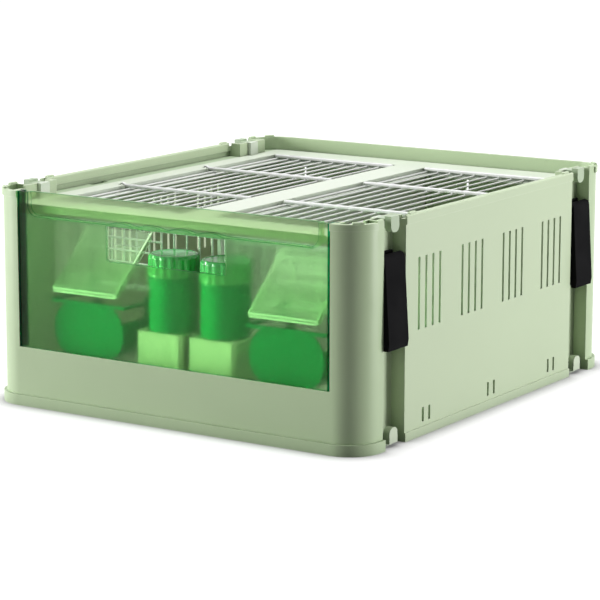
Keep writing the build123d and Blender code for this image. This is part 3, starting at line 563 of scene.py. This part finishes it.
def ring_faces(rings, sides, copies=1):
    """Quads between successive closed rings of points, with both end rings closed by one face.

    Points are numbered copy by copy, ring by ring and round each ring, anticlockwise seen from
    the last ring, which turns every face outwards.
    """
    row = np.arange(rings - 1)[:, None] * sides
    here = np.arange(sides)[None, :]
    after = (here + 1) % sides
    quads = np.stack([row + here, row + after, row + after + sides, row + here + sides], axis=-1)
    quads = quads.reshape(-1, 4)
    first = np.arange(sides)[::-1]
    last = np.arange(sides) + (rings - 1) * sides
    step = rings * sides
    faces = (quads[None] + step * np.arange(copies)[:, None, None]).reshape(-1, 4).tolist()
    for end in (first, last):
        faces += (end[None] + step * np.arange(copies)[:, None]).tolist()
    return faces


def make_piece(name, points, faces, material, body, replaced=()):
    """Builds a smooth mesh object from points and faces and hands it to its body."""
    mesh = bpy.data.meshes.new(name)
    mesh.from_pydata(np.asarray(points).reshape(-1, 3).tolist(), [], faces)
    mesh.shade_smooth()
    mesh.materials.append(material)
    piece = new_object(name, mesh)
    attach(piece, body)
    if replaced:
        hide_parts(*replaced)
    return piece


def round_profile(corners, radius, steps=5):
    """Corner points of a profile, each replaced by a short arc that is tangent to both its sides.

    The arc is taken as the quadratic curve with the corner as its middle control point.
    """
    corners = np.asarray(corners, dtype=float)
    share = np.linspace(0.0, 1.0, steps)[:, None]
    points = [corners[:1]]
    for before, corner, after in zip(corners[:-2], corners[1:-1], corners[2:]):
        reach_in = min(radius, 0.45 * np.linalg.norm(before - corner))
        reach_out = min(radius, 0.45 * np.linalg.norm(after - corner))
        start = corner + (before - corner) * reach_in / np.linalg.norm(before - corner)
        end = corner + (after - corner) * reach_out / np.linalg.norm(after - corner)
        points.append((1 - share) ** 2 * start + 2 * share * (1 - share) * corner + share ** 2 * end)
    points.append(corners[-1:])
    return np.concatenate(points)


def turned(profile, centre, ripple=None):
    """A profile of (radius, height) pairs turned round an upright axis through the centre.

    The point at angle t is (x + r cos t, y + r sin t, z + h); ripple, if given, takes the angle
    and the profile row and returns how far the surface is drawn in.
    """
    angle = np.linspace(0.0, 2 * np.pi, TURN_STEPS * (1 if ripple is None else 4), endpoint=False)
    radius = profile[:, 0][:, None] + 0 * angle[None, :]
    height = profile[:, 1][:, None] + 0 * angle[None, :]
    if ripple is not None:
        radius = radius - ripple(angle[None, :], np.arange(len(profile))[:, None])
    points = np.stack([radius * np.cos(angle), radius * np.sin(angle), height], axis=-1)
    return points + np.asarray(centre), ring_faces(len(profile), len(angle))


def bottle_piece(name, node, body, material):
    """Bottle wall: foot, straight side, shoulder, neck, rim, and the same again inside."""
    low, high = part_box(node)
    centre = ((low[0] + high[0]) / 2, (low[1] + high[1]) / 2, low[2])
    side = (high[0] - low[0]) / 2
    tall = high[2] - low[2]
    neck = side - NECK_IN
    shoulder = tall - NECK_TALL
    inner = side - BOTTLE_WALL
    outside = [(POLE, BOTTLE_DISH), (side * 0.75, BOTTLE_DISH), (side * 0.82, 0.0), (side, 0.0),
               (side, shoulder), (neck, shoulder + 0.0012), (neck, tall)]
    inside = [(neck - BOTTLE_WALL, tall), (neck - BOTTLE_WALL, shoulder + 0.001),
              (inner, shoulder - 0.002), (inner, BOTTLE_FLOOR), (POLE, BOTTLE_FLOOR)]
    points, faces = turned(round_profile(outside + inside, 0.0022), centre)
    make_piece(name, points, faces, material, body, [node])
    wet = inner - WATER_GAP
    water = [(POLE, WATER_FOOT), (wet, WATER_FOOT), (wet, WATER_TOP), (POLE, WATER_TOP)]
    points, faces = turned(round_profile(water, 0.0008), centre)
    make_piece(f"water_{name}", points, faces, water_clear, body)


def cap_piece(name, node, body, material):
    """Screw cap: smooth foot ring, ribbed grip, bevelled top with a shallow dish, hollow inside."""
    low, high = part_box(node)
    centre = ((low[0] + high[0]) / 2, (low[1] + high[1]) / 2, low[2])
    grip = (high[0] - low[0]) / 2 - RIB_INSET
    tall = high[2] - low[2]
    hollow = grip - CAP_WALL
    corners = [(hollow, tall - CAP_ROOF), (hollow, 0.0), (grip, 0.0), (grip, 0.0016),
               (grip - 0.0003, 0.0022), (grip - 0.0003, tall - 0.0030), (grip - 0.0018, tall - 0.0004),
               (grip - 0.0040, tall), (grip - 0.0052, tall - CAP_DISH), (POLE, tall - CAP_DISH)]
    profile = np.concatenate([[(POLE, tall - CAP_ROOF)], round_profile(corners, 0.0005)])
    along = profile[:, 1]
    ribbed = (profile[:, 0] > grip - 0.0016) & (along > 0.0018) & (along < tall - 0.0012)

    def ripple(angle, row):
        wave = (0.5 - 0.5 * np.cos(CAP_RIBS * angle)) ** 1.6
        return RIB_DEEP * wave * ribbed[row]

    points, faces = turned(profile, centre, ripple)
    make_piece(name, points, faces, material, body, [node])


bottle_clear = clear_plastic("bottle_clear", BOTTLE_GREEN, CUP_TINT, 60.0, 0.15,
                             (0.35, 0.88, 0.45, 1.0), clear=0.12, gloss=0.05)
water_clear = clear_plastic("water_clear", WATER_FACE, WATER_TINT, 6.0, 0.0, (0.96, 1.0, 0.97, 1.0),
                            wave=0.0)
cap_plastic = moulding("cap_plastic", CAP_GREEN, 0.22, cloud=0.08, rubbed=0.25, sheen=0.3)
for side in ("left", "right"):
    bottle_piece(f"bottle_{side}", f"drinker_bottle_{side}", f"drinker_{side}", bottle_clear)
    cap_piece(f"cap_{side}", f"drinker_cap_{side}", f"cap_{side}", cap_plastic)

# Wire front
# Thin upright wires are welded across thick level bars; cups and spouts reach through its gaps.
# All of it is steel wire dipped in white plastic, so ends and welds are softly rounded.
WIRE_SIDES = 14
THIN = 0.0010
THICK = 0.00175
UPRIGHT_PITCH = 0.0142
UPRIGHT_SHIFT = -0.0039
FOOT_BAR = 0.012
REST_BAR = 0.046
HANG_BAR = 0.106
HOOD_BAR = 0.163
GUARD_STEP = 0.0112
GUARD_HALF = 0.046
GUARD_WIRES = 3
CUP_MARGIN = 0.0083
SPOUT_MARGIN = 0.0086
DOME_STEPS = 5
DOME_FROM = 0.12
WELD_RINGS = 6
WELD_SIDES = 10
WELD_FROM = 0.25
FRONT_WELD = (0.0013, 0.0009, 0.0016)
WIRE_WHITE = (0.86, 0.865, 0.86, 1.0)


def rods(starts, ends, radius):
    """Straight round rods with domed ends.

    Along each rod the ring radius is r sin q near its ends, where q runs to a right angle over
    one radius of length, and r between; a ring point is centre + r (cos t u + sin t v).
    """
    starts = np.asarray(starts, dtype=float)
    ends = np.asarray(ends, dtype=float)
    span = ends - starts
    length = np.linalg.norm(span, axis=1, keepdims=True)
    along = span / length
    aside = np.where(np.abs(along[:, 2:3]) < 0.9, [[0.0, 0.0, 1.0]], [[1.0, 0.0, 0.0]])
    u = np.cross(aside, along)
    u /= np.linalg.norm(u, axis=1, keepdims=True)
    v = np.cross(along, u)
    rise = np.linspace(DOME_FROM, 0.5 * np.pi, DOME_STEPS)
    near = radius * (1 - np.cos(rise))
    ring = radius * np.concatenate([np.sin(rise), np.sin(rise)[::-1]])
    place = np.concatenate([np.broadcast_to(near, (len(span), DOME_STEPS)), length - near[::-1]], axis=1)
    turn = np.linspace(0, 2 * np.pi, WIRE_SIDES, endpoint=False)
    around = (np.cos(turn)[None, :, None] * u[:, None] + np.sin(turn)[None, :, None] * v[:, None])
    centre = starts[:, None] + place[:, :, None] * along[:, None]
    points = centre[:, :, None] + ring[None, :, None, None] * around[:, None]
    return points.reshape(-1, 3), ring_faces(2 * DOME_STEPS, WIRE_SIDES, len(span))


def welds(places, half):
    """Small flattened beads of coating where wires cross: half sizes times a unit ball."""
    places = np.asarray(places, dtype=float)
    fall = np.linspace(WELD_FROM, np.pi - WELD_FROM, WELD_RINGS)
    turn = np.linspace(0, 2 * np.pi, WELD_SIDES, endpoint=False)
    ball = np.stack([np.sin(fall)[:, None] * np.cos(turn), np.sin(fall)[:, None] * np.sin(turn),
                     -np.cos(fall)[:, None] + 0 * turn[None]], axis=-1)
    points = places[:, None, None] + ball[None] * np.asarray(half)
    return points.reshape(-1, 3), ring_faces(WELD_RINGS, WELD_SIDES, len(places))


def merged(*shapes):
    """Several (points, faces) shapes as one."""
    points = []
    faces = []
    count = 0
    for some_points, some_faces in shapes:
        points.append(np.asarray(some_points).reshape(-1, 3))
        faces += [[corner + count for corner in face] for face in some_faces]
        count += len(points[-1])
    return np.concatenate(points), faces


def line_points(x, y, z):
    """Rows of points from broadcast x, y and z."""
    columns = (np.asarray(column, dtype=float) for column in (x, y, z))
    return np.stack(np.broadcast_arrays(*columns), axis=-1).reshape(-1, 3)


def wire_front_piece(material):
    """Uprights, bars, guard wires and weld beads as one piece."""
    low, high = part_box("wire_front")
    reach = high[0]
    plane = high[1] - 2 * THICK - THIN
    k = np.arange(math.ceil((-reach + THIN - UPRIGHT_SHIFT) / UPRIGHT_PITCH),
                  math.floor((reach - THIN - UPRIGHT_SHIFT) / UPRIGHT_PITCH) + 1)
    x = UPRIGHT_SHIFT + k * UPRIGHT_PITCH
    gap = np.zeros(len(x), dtype=bool)
    cup_middle = []
    for side in ("left", "right"):
        cup_low, cup_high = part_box(f"feeder_cup_{side}")
        cup_middle.append((cup_low[0] + cup_high[0]) / 2)
        spout_low, spout_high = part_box(f"drinker_trough_{side}")
        spout_middle = (spout_low[0] + spout_high[0]) / 2
        gap |= np.abs(x - cup_middle[-1]) < (cup_high[0] - cup_low[0]) / 2 - CUP_MARGIN
        gap |= np.abs(x - spout_middle) < (spout_high[0] - spout_low[0]) / 2 - SPOUT_MARGIN
    whole = x[~gap]
    cut = x[gap]
    front = plane - THIN - THICK
    back = plane + THIN + THICK
    uprights = merged(
        rods(line_points(whole, plane, low[2]), line_points(whole, plane, high[2]), THIN),
        rods(line_points(cut, plane, low[2]), line_points(cut, plane, REST_BAR + THICK), THIN),
        rods(line_points(cut, plane, HANG_BAR - THICK), line_points(cut, plane, high[2]), THIN))
    heights = np.array([FOOT_BAR, REST_BAR, HANG_BAR])
    bars = merged(
        rods(line_points(-reach, back, heights), line_points(reach, back, heights), THICK),
        rods(line_points(-reach, front, [HOOD_BAR]), line_points(reach, front, [HOOD_BAR]), THICK))
    guards = []
    z = HOOD_BAR - GUARD_STEP * np.arange(1, GUARD_WIRES + 1)
    for middle in cup_middle:
        guards.append(rods(line_points(middle - GUARD_HALF, plane - 2 * THIN, z),
                           line_points(middle + GUARD_HALF, plane - 2 * THIN, z), THIN))
    beads = merged(
        *[welds(line_points(x, plane + THIN, height), FRONT_WELD) for height in heights],
        welds(line_points(x, plane - THIN, HOOD_BAR), FRONT_WELD))
    points, faces = merged(uprights, bars, *guards, beads)
    make_piece("service_wires", points, faces, material, "carrier", ["wire_front"])


coated_wire = moulding("coated_wire", WIRE_WHITE, 0.28, cloud=0.04, rubbed=0.0, corner=0.35, bump=0.05,
                       sheen=0.2)
wire_front_piece(coated_wire)

# Hood edges
# The hoods' borders are rolled into a thicker, paler bead that frames each clear plate. Each bead
# runs down both sides and round the front lip, and is moulded in one with its hood.
BEAD = 0.0009
HOOD_RISE = 0.052
HOOD_LIP = 0.0035
BEAD_PALE = (0.74, 0.83, 0.66, 1.0)
bead_plastic = moulding("bead_plastic", BEAD_PALE, 0.25, cloud=0.03, rubbed=0.0, corner=0.1, sheen=0.3)


def hood_bead(side):
    """Straight rods between the corners of the plate and of its lip."""
    low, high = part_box(f"feeder_hood_{side}")
    near = low[1] + BEAD
    far = high[1] - 2 * BEAD
    foot = low[2] + BEAD
    brow = low[2] + HOOD_LIP
    top = brow + HOOD_RISE
    left = low[0] + BEAD
    right = high[0] - BEAD
    starts = [(left, far, top), (right, far, top), (left, near, brow),
              (left, near, foot), (left, near, brow), (right, near, brow)]
    ends = [(left, near, brow), (right, near, brow), (right, near, brow),
            (right, near, foot), (left, near, foot), (right, near, foot)]
    points, faces = rods(starts, ends, BEAD)
    make_piece(f"hood_bead_{side}", points, faces, bead_plastic, f"hood_{side}")


hood_bead("left")
hood_bead("right")

# Wire lids
# Eleven thin wires run front to back under four thick cross bars. The two bars nearer the middle are
# rolled into flat eyes at the wall side, where they turn on pins of the roof frame.
LID_WIRES = 11
LID_EDGE = 0.0025
LID_WIDTH = 0.143
HINGED_BAR = 0.070
EYE_OUT = 0.0032
EYE_IN = 0.0016
EYE_STEPS = 28
EYE_SIDES = 12
EYE_JOIN = 0.0004
LID_WELD = (0.0013, 0.0016, 0.0009)


def eyes(places, out, hole, half):
    """Flat rolled eyes round an axis along Y: an oval section carried round a circle.

    With m the middle radius, a point at angles s round the eye and t round the section is
    ((m + a cos t) cos s, b sin t, (m + a cos t) sin s).
    """
    places = np.asarray(places, dtype=float)
    middle = (out + hole) / 2
    thick = (out - hole) / 2
    s = np.linspace(0, 2 * np.pi, EYE_STEPS, endpoint=False)[:, None]
    t = np.linspace(0, 2 * np.pi, EYE_SIDES, endpoint=False)[None, :]
    radius = middle + thick * np.cos(t)
    loop = np.stack([radius * np.cos(s), half * np.sin(t) + 0 * s, radius * np.sin(s)], axis=-1)
    points = places[:, None, None] + loop[None]
    row = np.arange(EYE_STEPS)[:, None] * EYE_SIDES
    column = np.arange(EYE_SIDES)[None, :]
    step = EYE_STEPS * EYE_SIDES
    next_row = (row + EYE_SIDES) % step
    next_column = (column + 1) % EYE_SIDES
    quads = np.stack([row + column, row + next_column, next_row + next_column, next_row + column], axis=-1)
    quads = quads.reshape(-1, 4)
    faces = (quads[None] + step * np.arange(len(places))[:, None, None]).reshape(-1, 4).tolist()
    return points.reshape(-1, 3), faces


def lid_piece(side, sign, material):
    """One lid as a single welded piece."""
    low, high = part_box(f"wire_lid_{side}")
    inner = min(abs(low[0]), abs(high[0]))
    hinge = max(abs(low[0]), abs(high[0])) - EYE_OUT
    end = high[1]
    wire_z = low[2] + THIN
    bar_z = wire_z + THIN + THICK
    x = sign * np.linspace(inner + LID_EDGE, inner + LID_WIDTH - LID_EDGE, LID_WIRES)
    wires = rods(line_points(x, -end, wire_z), line_points(x, end, wire_z), THIN)
    ends = np.array([-end + THICK, end - THICK])
    hinged = np.array([-HINGED_BAR, HINGED_BAR])
    edge_bars = rods(line_points(sign * inner, ends, bar_z),
                     line_points(sign * (inner + LID_WIDTH), ends, bar_z), THICK)
    hinge_bars = rods(line_points(sign * inner, hinged, bar_z),
                      line_points(sign * (hinge - EYE_IN - EYE_JOIN), hinged, bar_z), THICK)
    loops = eyes(line_points(sign * hinge, hinged, bar_z), EYE_OUT, EYE_IN, THICK)
    beads = [welds(line_points(x, y, wire_z + THIN), LID_WELD) for y in (*ends, *hinged)]
    points, faces = merged(wires, edge_bars, hinge_bars, loops, *beads)
    make_piece(f"lid_wires_{side}", points, faces, material, f"lid_{side}",
               [f"wire_lid_{side}"])


lid_piece("left", -1, coated_wire)
lid_piece("right", 1, coated_wire)

# Perches
# Plain turned hardwood dowels with eased ends, one across each compartment. They lie in cradles on the
# divider and the side walls.
DOWEL_EASE = 0.0008
DOWEL_NOSE = 0.3
DOWEL_SIDES = 40
WOOD_DARK = (0.42, 0.26, 0.13, 1.0)
WOOD_PALE = (0.66, 0.47, 0.27, 1.0)
PORE_DARK = (0.24, 0.13, 0.06, 1.0)
RING_STRETCH = (5.0, 160.0, 160.0)
PORE_STRETCH = (60.0, 1800.0, 1800.0)


def dowel_wood():
    """Pale hardwood: fine rings cut lengthwise, with short dark pores along X."""
    material, tree, shader = new_material("dowel_wood")
    place = object_place(tree)
    rings = add(tree, "ShaderNodeMapping", {"Vector": place, "Scale": RING_STRETCH})
    grain = noise(tree, rings.outputs[0], 1.6, 4.0)
    pores = add(tree, "ShaderNodeMapping", {"Vector": place, "Scale": PORE_STRETCH})
    pore = noise(tree, pores.outputs[0], 1.0, 1.0)
    tone = mix_colour(tree, grain, WOOD_DARK, WOOD_PALE)
    tone = mix_colour(tree, mapped(tree, pore, 0.62, 0.75, 0.0, 0.5), tone, PORE_DARK)
    relief = add(tree, "ShaderNodeBump", {"Height": pore, "Distance": GRAIN_RISE, "Strength": 0.2})
    tree.links.new(tone, shader.inputs["Base Color"])
    tree.links.new(mapped(tree, grain, 0.3, 0.7, 0.45, 0.6), shader.inputs["Roughness"])
    tree.links.new(relief.outputs[0], shader.inputs["Normal"])
    return material


def perch_piece(side, material):
    """A dowel along X: rings of one radius, drawn in over the eased ends."""
    low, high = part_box(f"perch_{side}")
    radius = (high[2] - low[2]) / 2
    centre = np.array([0.0, (low[1] + high[1]) / 2, (low[2] + high[2]) / 2])
    nose = DOWEL_NOSE * DOWEL_EASE
    x = np.array([low[0], low[0], low[0] + nose, low[0] + DOWEL_EASE,
                  high[0] - DOWEL_EASE, high[0] - nose, high[0], high[0]])
    half = [radius * DOWEL_NOSE, radius - DOWEL_EASE, radius - nose, radius]
    ring = np.array(half + half[::-1])[:, None]
    turn = np.linspace(0, 2 * np.pi, DOWEL_SIDES, endpoint=False)
    points = np.stack([x[:, None] + 0 * turn, ring * np.cos(turn), ring * np.sin(turn)], axis=-1)
    make_piece(f"dowel_{side}", points + centre, ring_faces(len(x), DOWEL_SIDES), material, "carrier",
               [f"perch_{side}"])


hardwood = dowel_wood()
perch_piece("left", hardwood)
perch_piece("right", hardwood)
